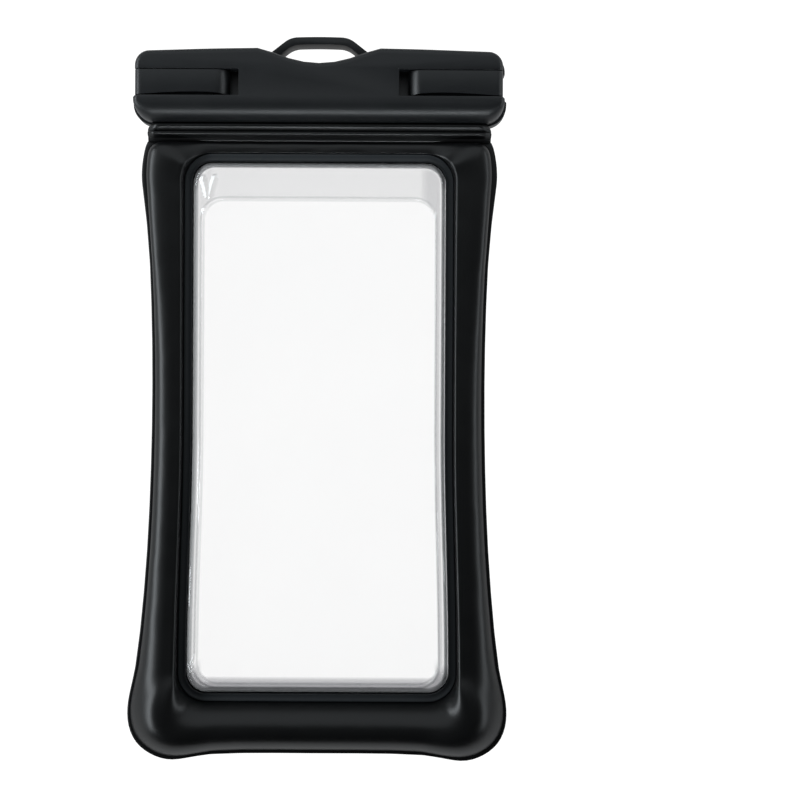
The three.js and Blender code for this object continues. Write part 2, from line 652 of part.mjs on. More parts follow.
put("rear_clamp_bar", rearBar(), blackAbs);
put("front_clamp_bar", frontBar(), blackAbs);
put("left_latch", latch(-1), blackAbs);
put("right_latch", latch(1), blackAbs);
put("left_latch_pin", latchPin(-1), steel);
put("right_latch_pin", latchPin(1), steel);
put("rear_seal", seal(REAR_BAR_THICKNESS - SEAL_THICKNESS), silicone);
put("front_seal", seal(FRONT_FILM_Z + FILM + PLAY), silicone);
put("rear_mouth_film", mouthFilm(-1), blackTpu);
put("front_mouth_film", mouthFilm(1), blackTpu);
put("rear_air_frame", airFrame(-1), blackTpu);
put("front_air_frame", airFrame(1), blackTpu);
put("rear_window", clearWindow(-1), clearTpu);
put("front_window", clearWindow(1), clearTpu);

export default pouch;
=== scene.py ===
"""Dresses a waterproof phone pouch: an inflated black frame round clear windows, shut by a clamp.

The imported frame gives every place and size. One operator makes the stage, and one makes each
piece or group of like pieces. Lengths are in metres.
"""

import math

import bpy
from bpy.props import FloatProperty, PointerProperty, StringProperty
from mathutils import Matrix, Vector, noise
from mathutils.bvhtree import BVHTree


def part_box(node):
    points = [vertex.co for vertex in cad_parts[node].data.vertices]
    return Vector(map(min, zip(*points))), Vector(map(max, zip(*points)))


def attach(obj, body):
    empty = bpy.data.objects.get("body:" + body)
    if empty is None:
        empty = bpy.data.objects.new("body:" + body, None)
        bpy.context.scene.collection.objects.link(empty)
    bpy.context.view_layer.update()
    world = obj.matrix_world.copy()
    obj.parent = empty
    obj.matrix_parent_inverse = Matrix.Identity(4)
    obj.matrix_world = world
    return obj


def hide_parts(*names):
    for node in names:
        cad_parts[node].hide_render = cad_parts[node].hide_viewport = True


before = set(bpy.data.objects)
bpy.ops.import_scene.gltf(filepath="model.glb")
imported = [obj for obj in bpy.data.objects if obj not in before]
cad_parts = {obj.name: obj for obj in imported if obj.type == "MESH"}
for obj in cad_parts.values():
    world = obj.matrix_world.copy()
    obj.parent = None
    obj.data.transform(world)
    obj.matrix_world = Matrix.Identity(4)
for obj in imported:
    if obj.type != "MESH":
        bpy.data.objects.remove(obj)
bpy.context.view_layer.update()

bl_info = {
    "name": "Waterproof phone pouch",
    "version": (1, 0, 0),
    "blender": (4, 5, 0),
    "location": "3D view > Sidebar > Pouch",
    "description": "Builds a floating waterproof pouch round its packed frame",
    "category": "Add Mesh",
}

AIR_LOW, AIR_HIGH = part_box("front_air_frame")
WINDOW_LOW, WINDOW_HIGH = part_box("front_window")
MOUTH_LOW, MOUTH_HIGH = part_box("front_mouth_film")
CLAMP_LOW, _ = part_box("rear_clamp_bar")
# Each half of the pouch stands this far from its middle plane
HALF_GAP = 0.00015
MIDDLE = AIR_LOW.z - HALF_GAP
BODY = "pouch"

# Edges sharper than this many degrees are shaded sharp
MOULDED_ANGLE = 35
BLACK_FILM_ANGLE = 50
CLEAR_FILM_ANGLE = 18


def length(name, description, default):
    return FloatProperty(
        name=name, description=description, default=default, unit="LENGTH", subtype="DISTANCE"
    )


class PouchSizes(bpy.types.PropertyGroup):
    """Sizes that the frame's boxes do not give"""

    film: length("Film", "Thickness of every film", 0.0005)
    edge: length("Edge", "Rounding of the moulded edges", 0.0003)
    lip: length("Window band", "Width of the black band round the window", 0.0028)
    lip_rise: length("Band rise", "Height of the band above the middle plane", 0.0022)
    corner: length("Window corner", "Radius of the window's corners", 0.007)
    flare: length("Window flare", "How much wider the window is at the bottom", 0.0016)
    lap: length("Window lap", "Clear film hidden under the band", 0.0023)
    flange: length("Flange", "Welded edge outside the air frame", 0.0011)
    ear_flange: length("Ear flange", "Extra flange at the upper ears", 0.0009)
    top_flange: length("Top flange", "Flange under the mouth film", 0.0036)
    span: length("Cushion span", "Width over which the cushion's height levels off", 0.014)
    crest: FloatProperty(
        name="Side crest",
        description="Where the sides are fullest, from the outer weld to the inner",
        default=0.68, min=0.3, max=0.8,
    )
    low_crest: FloatProperty(
        name="Bottom crest",
        description="Where the bottom is fullest, from the outer weld to the inner",
        default=0.42, min=0.3, max=0.8,
    )
    crease: FloatProperty(
        name="Crease",
        description="Slope of the creases in the clear film",
        default=0.63, min=0.0, max=1.0,
    )
    ripple: length("Ripple", "Height of the ripples in the clear film", 0.00022)


class PouchColours(bpy.types.PropertyGroup):
    """Colours, as hexadecimal sRGB"""

    abs_black: StringProperty(name="Bars", description="Moulded ABS", default="191B1D")
    tpu_black: StringProperty(name="Air frame", description="Black TPU film", default="0A0B0C")
    clear: StringProperty(name="Windows", description="Clear TPU film", default="FFFFFF")
    silicone: StringProperty(name="Seals", description="Silicone strip", default="C9CCCD")
    steel: StringProperty(name="Pins", description="Drawn steel wire", default="B9BBBD")
    floor: StringProperty(name="Floor", description="Studio floor", default="F2F2F2")


def linear(hexadecimal):
    """An sRGB hex colour as linear RGBA."""
    parts = [int(hexadecimal[i : i + 2], 16) / 255 for i in (0, 2, 4)]
    flat = [c / 12.92 if c <= 0.04045 else ((c + 0.055) / 1.055) ** 2.4 for c in parts]
    return (*flat, 1.0)


def toned(colour, share):
    """A linear colour made darker or lighter."""
    return (*(c * share for c in colour[:3]), 1.0)


def mix(a, b, share):
    return a + (b - a) * share


def smooth(low, high, value):
    share = min(1.0, max(0.0, (value - low) / (high - low)))
    return share * share * (3 - 2 * share)


# Materials

# Tones that only some parts of the films have: the weld bands' grey, which is partly painted light;
# the clear film's painted shade; its grey where it is seen edge on, partly painted shade; and its
# haze
WELD_GREY_AND_PAINTED_LIGHT = "303437"
PAINTED_SHADE_CLEAR = "E4E4E5"
EDGE_ON_GREY_AND_SHADE_CLEAR = "C4C6C7"
SLANTED_PAINTED_SHADE_CLEAR = "8C8E8F"
CLEAR_HAZE = "F7F9FA"
WHITE = (1, 1, 1, 1)


def new_material(name):
    material = bpy.data.materials.new(name)
    material.use_nodes = True
    material.node_tree.nodes.clear()
    return material


def add_node(material, kind, inputs=None, links=None, **settings):
    """Adds one node with its settings, its input values and its links."""
    node = material.node_tree.nodes.new(kind)
    for key, value in settings.items():
        setattr(node, key, value)
    for key, value in (inputs or {}).items():
        node.inputs[key].default_value = value
    for key, socket in (links or {}).items():
        material.node_tree.links.new(socket, node.inputs[key])
    return node


def moulded_abs(name, hexadecimal):
    """Black ABS from a spark-eroded mould: an even fine grain that spreads each highlight, and
    faint rubbed patches where hands polish it."""
    material = new_material(name)
    place = add_node(material, "ShaderNodeTexCoord").outputs["Object"]
    # Grain of the mould, about 0.4 mm, coarser than the real 0.1 mm so that it shows
    grain = add_node(
        material, "ShaderNodeTexNoise", {"Scale": 2600, "Detail": 3, "Roughness": 0.6},
        {"Vector": place},
    )
    patches = add_node(
        material, "ShaderNodeTexNoise", {"Scale": 70, "Detail": 4, "Roughness": 0.6},
        {"Vector": place},
    )
    base = linear(hexadecimal)
    tone = add_node(
        material, "ShaderNodeMix", {"A": toned(base, 0.82), "B": toned(base, 1.22)},
        {"Factor": patches.outputs["Fac"]}, data_type="RGBA",
    )
    gloss = add_node(
        material, "ShaderNodeMapRange", {"To Min": 0.34, "To Max": 0.48},
        {"Value": patches.outputs["Fac"]},
    )
    bump = add_node(
        material, "ShaderNodeBump", {"Strength": 0.32, "Distance": 0.00006},
        {"Height": grain.outputs["Fac"]},
    )
    shader = add_node(
        material, "ShaderNodeBsdfPrincipled", {"IOR": 1.52},
        {
            "Base Color": tone.outputs["Result"],
            "Roughness": gloss.outputs["Result"],
            "Normal": bump.outputs["Normal"],
        },
    )
    add_node(material, "ShaderNodeOutputMaterial", {}, {"Surface": shader.outputs["BSDF"]})
    return material


def black_tpu(name, hexadecimal):
    """Calendered black TPU film: satin, so that its curves carry soft highlights, with a very fine
    orange peel, the dull smears that handling leaves, and weld bands that are greyer, partly from
    their own finish and partly as painted light."""
    material = new_material(name)
    place = add_node(material, "ShaderNodeTexCoord").outputs["Object"]
    # Orange peel of the calender rolls, about 1.2 mm
    peel = add_node(
        material, "ShaderNodeTexNoise", {"Scale": 850, "Detail": 2, "Roughness": 0.5},
        {"Vector": place},
    )
    smears = add_node(
        material, "ShaderNodeTexNoise",
        {"Scale": 45, "Detail": 5, "Roughness": 0.65, "Distortion": 0.6}, {"Vector": place},
    )
    base = linear(hexadecimal)
    handled = add_node(
        material, "ShaderNodeMix", {"A": toned(base, 0.8), "B": toned(base, 1.3)},
        {"Factor": smears.outputs["Fac"]}, data_type="RGBA",
    )
    # The weld bands are pressed with a fine grain, so they are duller; their lighter grey is partly
    # their own and partly painted light, standing in for the light the tubes block
    weld = add_node(material, "ShaderNodeAttribute", attribute_name="weld").outputs["Fac"]
    tone = add_node(
        material, "ShaderNodeMix", {"B": linear(WELD_GREY_AND_PAINTED_LIGHT)},
        {"Factor": weld, "A": handled.outputs["Result"]}, data_type="RGBA",
    )
    film_gloss = add_node(
        material, "ShaderNodeMapRange", {"To Min": 0.31, "To Max": 0.4},
        {"Value": smears.outputs["Fac"]},
    )
    gloss = add_node(
        material, "ShaderNodeMix", {"B": 0.5}, {"Factor": weld, "A": film_gloss.outputs["Result"]}
    )
    bump = add_node(
        material, "ShaderNodeBump", {"Strength": 0.12, "Distance": 0.00008},
        {"Height": peel.outputs["Fac"]},
    )
    shader = add_node(
        material, "ShaderNodeBsdfPrincipled", {"IOR": 1.5},
        {
            "Base Color": tone.outputs["Result"],
            "Roughness": gloss.outputs["Result"],
            "Normal": bump.outputs["Normal"],
        },
    )
    add_node(material, "ShaderNodeOutputMaterial", {}, {"Surface": shader.outputs["BSDF"]})
    return material


def clear_tpu(name, hexadecimal):
    """Clear calendered TPU film: it lets the light through with a faint haze, mirrors the lamps in
    its ripples, and carries painted shade in its tray and along its welds. It looks greyer where it
    is seen edge on, partly from the longer path through the film and partly as painted shade."""
    material = new_material(name)
    place = add_node(material, "ShaderNodeTexCoord").outputs["Object"]
    haze = add_node(
        material, "ShaderNodeTexNoise", {"Scale": 30, "Detail": 3, "Roughness": 0.5},
        {"Vector": place},
    )
    facing = add_node(material, "ShaderNodeLayerWeight", {"Blend": 0.5}).outputs["Facing"]
    # Painted shade in the tray round the raised middle, most of all along its top and bottom welds
    painted_shade = add_node(material, "ShaderNodeAttribute", attribute_name="painted_shade").outputs["Fac"]
    level = add_node(
        material, "ShaderNodeMix", {"A": linear(hexadecimal), "B": linear(PAINTED_SHADE_CLEAR)},
        {"Factor": painted_shade}, data_type="RGBA",
    )
    # Seen edge on the film is greyer, partly from its longer path and partly as painted shade, and
    # darker still where the painted shade lies
    edge_on_grey_and_shade = add_node(
        material, "ShaderNodeMix", {"A": linear(EDGE_ON_GREY_AND_SHADE_CLEAR), "B": linear(SLANTED_PAINTED_SHADE_CLEAR)},
        {"Factor": painted_shade}, data_type="RGBA",
    )
    tint = add_node(
        material, "ShaderNodeMix", {},
        {"Factor": facing, "A": level.outputs["Result"], "B": edge_on_grey_and_shade.outputs["Result"]},
        data_type="RGBA",
    )
    through = add_node(material, "ShaderNodeBsdfTransparent", {}, {"Color": tint.outputs["Result"]})
    milk = add_node(material, "ShaderNodeBsdfDiffuse", {"Color": linear(CLEAR_HAZE)})
    amount = add_node(
        material, "ShaderNodeMapRange", {"To Min": 0.003, "To Max": 0.015},
        {"Value": haze.outputs["Fac"]},
    )
    body = add_node(
        material, "ShaderNodeMixShader", {},
        {0: amount.outputs["Result"], 1: through.outputs["BSDF"], 2: milk.outputs["BSDF"]},
    )
    # The film's near face mirrors a little of what it faces, and far more at a grazing view
    slant = add_node(material, "ShaderNodeMath", {1: 5.0}, {0: facing}, operation="POWER")
    share = add_node(
        material, "ShaderNodeMapRange", {"To Min": 0.07, "To Max": 1.0},
        {"Value": slant.outputs["Value"]},
    )
    far = add_node(material, "ShaderNodeNewGeometry").outputs["Backfacing"]
    near_share = add_node(
        material, "ShaderNodeMix", {"B": 0.0}, {"Factor": far, "A": share.outputs["Result"]}
    )
    mirror = add_node(material, "ShaderNodeBsdfGlossy", {"Color": WHITE, "Roughness": 0.08})
    shader = add_node(
        material, "ShaderNodeMixShader", {},
        {0: near_share.outputs["Result"], 1: body.outputs["Shader"], 2: mirror.outputs["BSDF"]},
    )
    add_node(material, "ShaderNodeOutputMaterial", {}, {"Surface": shader.outputs["Shader"]})
    return material


def plain_silicone(name, hexadecimal):
    """Extruded silicone: satin, with a faint cloudiness from its filler."""
    material = new_material(name)
    place = add_node(material, "ShaderNodeTexCoord").outputs["Object"]
    cloud = add_node(material, "ShaderNodeTexNoise", {"Scale": 400, "Detail": 2}, {"Vector": place})
    gloss = add_node(
        material, "ShaderNodeMapRange", {"To Min": 0.5, "To Max": 0.65},
        {"Value": cloud.outputs["Fac"]},
    )
    shader = add_node(
        material, "ShaderNodeBsdfPrincipled",
        {
            "Base Color": linear(hexadecimal),
            "IOR": 1.41,
            "Subsurface Weight": 0.1,
            "Subsurface Scale": 0.001,
        },
        {"Roughness": gloss.outputs["Result"]},
    )
    add_node(material, "ShaderNodeOutputMaterial", {}, {"Surface": shader.outputs["BSDF"]})
    return material


def drawn_steel(name, hexadecimal):
    """Drawn steel wire: bright, with fine scratches along it."""
    material = new_material(name)
    place = add_node(material, "ShaderNodeTexCoord").outputs["Object"]
    along = add_node(material, "ShaderNodeMapping", {"Scale": (6000, 200, 6000)}, {"Vector": place})
    scratch = add_node(
        material, "ShaderNodeTexNoise", {"Scale": 1, "Detail": 3},
        {"Vector": along.outputs["Vector"]},
    )
    gloss = add_node(
        material, "ShaderNodeMapRange", {"To Min": 0.22, "To Max": 0.4},
        {"Value": scratch.outputs["Fac"]},
    )
    shader = add_node(
        material, "ShaderNodeBsdfPrincipled", {"Base Color": linear(hexadecimal), "Metallic": 1},
        {"Roughness": gloss.outputs["Result"]},
    )
    add_node(material, "ShaderNodeOutputMaterial", {}, {"Surface": shader.outputs["BSDF"]})
    return material


def studio_white(name, hexadecimal, lift, in_mirrors):
    """Matt studio paper. The lift whitens it for the camera and through the clear film, and
    mirrors show a part of that."""
    material = new_material(name)
    paper = add_node(
        material, "ShaderNodeBsdfDiffuse", {"Color": linear(hexadecimal), "Roughness": 0.5}
    )
    glow = add_node(material, "ShaderNodeEmission", {"Color": WHITE, "Strength": 1.15})
    rays = add_node(material, "ShaderNodeLightPath")
    mirrored = add_node(
        material, "ShaderNodeMath", {1: in_mirrors}, {0: rays.outputs["Is Glossy Ray"]},
        operation="MULTIPLY",
    )
    beyond = add_node(
        material, "ShaderNodeMath", {},
        {0: mirrored.outputs["Value"], 1: rays.outputs["Is Transmission Ray"]},
        operation="MAXIMUM",
    )
    seen = add_node(
        material, "ShaderNodeMath", {},
        {0: rays.outputs["Is Camera Ray"], 1: beyond.outputs["Value"]},
        operation="MAXIMUM",
    )
    share = add_node(
        material, "ShaderNodeMath", {1: lift}, {0: seen.outputs["Value"]}, operation="MULTIPLY"
    )
    shader = add_node(
        material, "ShaderNodeMixShader", {},
        {0: share.outputs["Value"], 1: paper.outputs["BSDF"], 2: glow.outputs["Emission"]},
    )
    add_node(material, "ShaderNodeOutputMaterial", {}, {"Surface": shader.outputs["Shader"]})
    return material


def shared(make, name, hexadecimal):
    return bpy.data.materials.get(name) or make(name, hexadecimal)


# Meshes


def deselect_all():
    bpy.ops.object.select_all(action="DESELECT")


def make_active(obj):
    deselect_all()
    obj.hide_set(False)
    obj.select_set(True)
    bpy.context.view_layer.objects.active = obj


def object_from(name, vertices, faces):
    mesh = bpy.data.meshes.new(name)
    mesh.from_pydata(vertices, [], faces)
    obj = bpy.data.objects.new(name, mesh)
    bpy.context.scene.collection.objects.link(obj)
    return obj


def outward(obj):
    """Merges doubled points and turns every face outwards."""
    make_active(obj)
    bpy.ops.object.mode_set(mode="EDIT")
    bpy.ops.mesh.select_all(action="SELECT")
    bpy.ops.mesh.remove_doubles(threshold=1e-7)
    bpy.ops.mesh.normals_make_consistent(inside=False)
    bpy.ops.object.mode_set(mode="OBJECT")


def thicken(obj, thickness, offset):
    """Gives a sheet its thickness, outwards where the offset is 1 and inwards where it is -1."""
    make_active(obj)
    wall = obj.modifiers.new("film", "SOLIDIFY")
    wall.thickness = thickness
    wall.offset = offset
    bpy.ops.object.modifier_apply(modifier=wall.name)


def finish_piece(obj, material, node, body, angle=MOULDED_ANGLE):
    """Gives a piece its material and its place on a body, in the place of a CAD node."""
    make_active(obj)
    bpy.ops.object.shade_smooth_by_angle(angle=math.radians(angle))
    obj.data.materials.clear()
    obj.data.materials.append(material)
    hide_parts(node)
    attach(obj, body)


def moulded_copy(node, name, edge):
    """A copy of a CAD node, merged, with its flat faces whole again and its sharp edges rounded
    as a mould leaves them."""
    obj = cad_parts[node].copy()
    obj.data = obj.data.copy()
    obj.name = name
    for key in list(obj.keys()):
        del obj[key]
    obj.parent = None
    bpy.context.scene.collection.objects.link(obj)
    make_active(obj)
    bpy.ops.mesh.customdata_custom_splitnormals_clear()
    bpy.ops.object.mode_set(mode="EDIT")
    bpy.ops.mesh.select_all(action="SELECT")
    bpy.ops.mesh.remove_doubles(threshold=2e-6)
    bpy.ops.mesh.dissolve_limited(angle_limit=math.radians(0.6))
    bpy.ops.object.mode_set(mode="OBJECT")
    bevel = obj.modifiers.new("edge", "BEVEL")
    bevel.width = edge
    bevel.segments = 3
    bevel.limit_method = "ANGLE"
    bevel.angle_limit = math.radians(38)
    bevel.use_clamp_overlap = True
    bpy.ops.object.modifier_apply(modifier=bevel.name)
    return obj


def loft_ring(name, sections):
    """Joins closed sections all the way round."""
    count = len(sections[0])
    faces = []
    for k in range(len(sections)):
        after = (k + 1) % len(sections)
        for i in range(count):
            j = (i + 1) % count
            faces.append((k * count + i, after * count + i, after * count + j, k * count + j))
    return object_from(name, [p for s in sections for p in s], faces)


def even_out(values, passes):
    """Draws each value round a ring towards its neighbours."""
    count = len(values)
    for _ in range(passes):
        values = [
            (values[i - 1] + 2 * values[i] + values[(i + 1) % count]) / 4 for i in range(count)
        ]
    return values


def window_flare(sizes, y):
    """How much wider than at the top the window is here, on each side."""
    low, high = WINDOW_LOW.y + sizes.lap, WINDOW_HIGH.y - sizes.lap
    return sizes.flare * (1 - smooth(low + sizes.corner, (low + high) / 2, y))


def window_stations(sizes, along_corner=26, along_side=150, along_end=70):
    """Places round the opening, at its corners' centres and between them, with their outward
    directions."""
    half = WINDOW_HIGH.x - sizes.lap - sizes.flare - sizes.corner
    low = WINDOW_LOW.y + sizes.lap + sizes.corner
    high = WINDOW_HIGH.y - sizes.lap - sizes.corner
    centres = [(half, low), (half, high), (-half, high), (-half, low)]
    found = []
    for i, (x, y) in enumerate(centres):
        next_x, next_y = centres[(i + 1) % 4]
        start = (i - 1) * 90
        for k in range(along_corner + 1):
            found.append((x, y, start + 90 * k / along_corner))
        steps = along_side if i % 2 == 0 else along_end
        for k in range(1, steps):
            found.append((mix(x, next_x, k / steps), mix(y, next_y, k / steps), start + 90))
    stations = []
    for x, y, angle in found:
        turn = math.radians(angle)
        x += math.copysign(window_flare(sizes, y), x)
        stations.append((x, y, math.cos(turn), math.sin(turn)))
    return stations


def flange_reach(stations, outside=0.2, above_middle=0.0004):
    """How far the frame's welded edge is from each station, evened out round the ring."""
    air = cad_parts["front_air_frame"]
    tree = BVHTree.FromPolygons(
        [v.co.copy() for v in air.data.vertices], [tuple(p.vertices) for p in air.data.polygons]
    )
    found = []
    for x, y, dx, dy in stations:
        start = Vector((x + dx * outside, y + dy * outside, MIDDLE + above_middle))
        hit = tree.ray_cast(start, Vector((-dx, -dy, 0)))
        found.append((hit[0] - Vector((x, y, hit[0].z))).length)
    return even_out(found, 3)


def inside_rounded(x, y, half, low, high, corner):
    """How far a place is inside the edge of a rounded rectangle that is centred across X."""
    cx, cy = half - corner, (high - low) / 2 - corner
    qx, qy = abs(x) - cx, abs(y - (high + low) / 2) - cy
    far = math.hypot(max(qx, 0), max(qy, 0)) + min(max(qx, qy), 0)
    return corner - far


# Lamps


def add_lamp(name, place, size, power, target=(0, 0, 0), spread=180):
    """A rectangular lamp of daylight colour that faces its target. The spread is in degrees."""
    data = bpy.data.lights.new(name, "AREA")
    data.shape = "RECTANGLE"
    data.size, data.size_y = size
    data.energy = power
    data.color = (0.9, 0.96, 1.0)
    data.spread = math.radians(spread)
    obj = bpy.data.objects.new(name, data)
    obj.location = place
    aim = Vector(target) - Vector(place)
    obj.rotation_euler = aim.to_track_quat("-Z", "Y").to_euler()
    bpy.context.scene.collection.objects.link(obj)


# Operators


class POUCH_OT_stage(bpy.types.Operator):
    """Makes the camera, the lamps, the world and the floor"""

    bl_idname = "pouch.stage"
    bl_label = "Stage"

    def execute(self, context):
        camera_data = bpy.data.cameras.new("camera")
        camera_data.sensor_width = 36
        camera_data.lens = 91.3
        camera_data.clip_end = 20
        camera = bpy.data.objects.new("camera", camera_data)
        camera.location = (0.02815, 0.0001, 0.71)
        # The pouch lies a little askew
        camera.rotation_euler = (0, 0, math.radians(0.28))
        context.scene.collection.objects.link(camera)
        context.scene.camera = camera

        # Long strips on both sides, which the tubes and the creases of the clear film mirror
        add_lamp("left_box", (-0.83, 0.0, 0.41), size=(1.25, 0.28), power=7.0)
        add_lamp("right_box", (0.83, 0.05, 0.37), size=(1.25, 0.2), power=2.4)
        # A wide soft one beyond the loop, and a narrow beam on the clamp's lower edge
        add_lamp("top_softbox", (0.0, 0.8, 0.72), size=(1.4, 1.3), power=3.6)
        add_lamp(
            "clamp_strip", (0.0, -0.65, 0.5), size=(1.1, 0.08), power=0.1,
            target=(0, 0.118, 0.018), spread=13,
        )

        world = bpy.data.worlds.new("world")
        world.use_nodes = True
        background = world.node_tree.nodes["Background"]
        background.inputs["Color"].default_value = WHITE
        background.inputs["Strength"].default_value = 0.03
        context.scene.world = world
        context.scene.view_settings.view_transform = "Standard"

        deselect_all()
        bpy.ops.mesh.primitive_plane_add(size=1, location=(0, 0, 0))
        floor = context.active_object
        floor.name = "floor"
        bpy.ops.object.mode_set(mode="EDIT")
        bpy.ops.mesh.select_all(action="SELECT")
        bpy.ops.transform.resize(value=(6, 6, 1))
        # A little below the pouch, so that no face of it lies in the floor
        bpy.ops.transform.translate(value=(0, 0, -0.0004))
        bpy.ops.object.mode_set(mode="OBJECT")
        paper = studio_white(
            "studio_white", context.scene.pouch_colours.floor, lift=0.97, in_mirrors=0.3
        )
        floor.data.materials.append(paper)
        return {"FINISHED"}


class POUCH_OT_clamp(bpy.types.Operator):
    """Rounds and finishes the two bars of the clamp"""

    bl_idname = "pouch.clamp"
    bl_label = "Clamp bars"

    def execute(self, context):
        sizes, colours = context.scene.pouch_sizes, context.scene.pouch_colours
        material = shared(moulded_abs, "moulded_abs", colours.abs_black)
        for node in ("rear_clamp_bar", "front_clamp_bar"):
            obj = moulded_copy(node, node.replace("clamp_bar", "bar"), sizes.edge)
            finish_piece(obj, material, node, BODY)
        return {"FINISHED"}


class POUCH_OT_latches(bpy.types.Operator):
    """Rounds and finishes the two latches"""

    bl_idname = "pouch.latches"
    bl_label = "Latches"

    def execute(self, context):
        sizes, colours = context.scene.pouch_sizes, context.scene.pouch_colours
        material = shared(moulded_abs, "moulded_abs", colours.abs_black)
        for side in ("left", "right"):
            obj = moulded_copy(f"{side}_latch", f"{side}_latch_lever", sizes.edge)
            finish_piece(obj, material, f"{side}_latch", f"{side}_latch")
        return {"FINISHED"}


class POUCH_OT_pins(bpy.types.Operator):
    """Finishes the steel pins and the silicone seals"""

    bl_idname = "pouch.pins"
    bl_label = "Pins and seals"

    def execute(self, context):
        sizes, colours = context.scene.pouch_sizes, context.scene.pouch_colours
        steel = shared(drawn_steel, "drawn_steel", colours.steel)
        silicone = shared(plain_silicone, "extruded_silicone", colours.silicone)
        for node, slot, material in (
            ("left_latch_pin", "steel", steel),
            ("right_latch_pin", "steel", steel),
            ("rear_seal", "silicone", silicone),
            ("front_seal", "silicone", silicone),
        ):
            obj = moulded_copy(node, f"{node}_finished", sizes.edge)
            finish_piece(obj, material, node, BODY)
        return {"FINISHED"}


class POUCH_OT_mouth(bpy.types.Operator):
    """Makes the mouth's two films, with the soft rolls below the clamp"""

    bl_idname = "pouch.mouth"
    bl_label = "Mouth films"

    # Two folds of the lap: place along Y from the air frame's top, and height over the lap
    FOLDS = (
        (-0.0030, 0.0001),
        (-0.0027, 0.0006),
        (-0.0024, 0.00068),
        (-0.0018, 0.0007),
        (-0.0007, 0.0023),
        (-0.00045, 0.0025),
        (-0.00025, 0.0024),
        (0.0001, 0.0014),
    )
    # The roll: share of the way from the air frame's top to the clamp, and height over the lap
    ROLL = (
        (0.16, 0.0014),
        (0.32, 0.0021),
        (0.47, 0.0026),
        (0.6, 0.0029),
        (0.68, 0.00306),
        (0.76, 0.0031),
        (0.86, 0.0031),
        (0.94, 0.0022),
    )
    # The way into the clamp: place along Y from the clamp's lower edge, and height over the flat
    PINCH = ((-0.00005, 0.0002), (0.0002, 0.0))
    STEPS = 6
    COLUMNS = 150
    # The mouth is this much narrower on each side where the clamp holds it
    INSET = 0.0014
    # Where that starts, as a share of the way from the air frame's top to the clamp
    INSET_START = 0.2
    # Share of the roll's height left at its two ends, and where in the half width it falls
    END_SHARE = 0.25
    END_FALL = (1.0, 0.965)
    # Low waves in the roll, and the rise over which they grow
    WAVE = 0.00018
    WAVE_RISE = 0.0004

    def execute(self, context):
        sizes, colours = context.scene.pouch_sizes, context.scene.pouch_colours
        material = shared(black_tpu, "calendered_black_tpu", colours.tpu_black)
        lap = HALF_GAP + sizes.film + 2 * HALF_GAP
        line = self.profile(lap)
        for side, node in ((1, "front_mouth_film"), (-1, "rear_mouth_film")):
            vertices, faces = [], []
            for c in range(self.COLUMNS + 1):
                across = 2 * c / self.COLUMNS - 1
                vertices += [self.place(across, y, height, lap, side) for y, height in line]
            rows = len(line)
            for c in range(self.COLUMNS):
                for r in range(rows - 1):
                    a = c * rows + r
                    faces.append((a, a + rows, a + rows + 1, a + 1))
            obj = object_from(node.replace("_film", "_sleeve"), vertices, faces)
            outward(obj)
            faces_up = sum(p.normal.z * p.area for p in obj.data.polygons) > 0
            if faces_up != (side > 0):
                obj.data.flip_normals()
            thicken(obj, sizes.film, 1)
            finish_piece(obj, material, node, BODY, BLACK_FILM_ANGLE)
        return {"FINISHED"}

    def profile(self, lap):
        """The films' line along Y, with its height over the middle plane."""
        frame_top, clamp = AIR_HIGH.y, CLAMP_LOW.y
        gap = clamp - frame_top
        flat = HALF_GAP
        corners = [(MOUTH_LOW.y, lap)]
        corners += [(frame_top + along, lap + rise) for along, rise in self.FOLDS]
        corners += [(frame_top + share * gap, lap + rise) for share, rise in self.ROLL]
        corners += [(clamp + along, flat + rise) for along, rise in self.PINCH]
        corners.append((MOUTH_HIGH.y, flat))
        line = []
        for a, b in zip(corners, corners[1:]):
            for k in range(self.STEPS):
                line.append((mix(a[0], b[0], k / self.STEPS), mix(a[1], b[1], k / self.STEPS)))
        line.append(corners[-1])
        for _ in range(3):
            rounded = [
                ((p[0] + 2 * q[0] + r[0]) / 4, (p[1] + 2 * q[1] + r[1]) / 4)
                for p, q, r in zip(line, line[1:], line[2:])
            ]
            line = [line[0]] + rounded + [line[-1]]
        return line

    def place(self, across, y, height, lap, side):
        """One point of a film: narrower into the clamp, lower at both ends and a little wavy."""
        frame_top, clamp = AIR_HIGH.y, CLAMP_LOW.y
        inside = smooth(frame_top + self.INSET_START * (clamp - frame_top), clamp, y)
        x = across * (MOUTH_HIGH.x - self.INSET * inside)
        full = mix(self.END_SHARE, 1, smooth(*self.END_FALL, abs(across)))
        wave = noise.noise(Vector((x * 60, y * 220, 3 * side))) * self.WAVE
        rise = max(0.0, height - lap)
        z = min(height, lap) + rise * full + wave * min(1, rise / self.WAVE_RISE)
        return x, y, MIDDLE + side * z


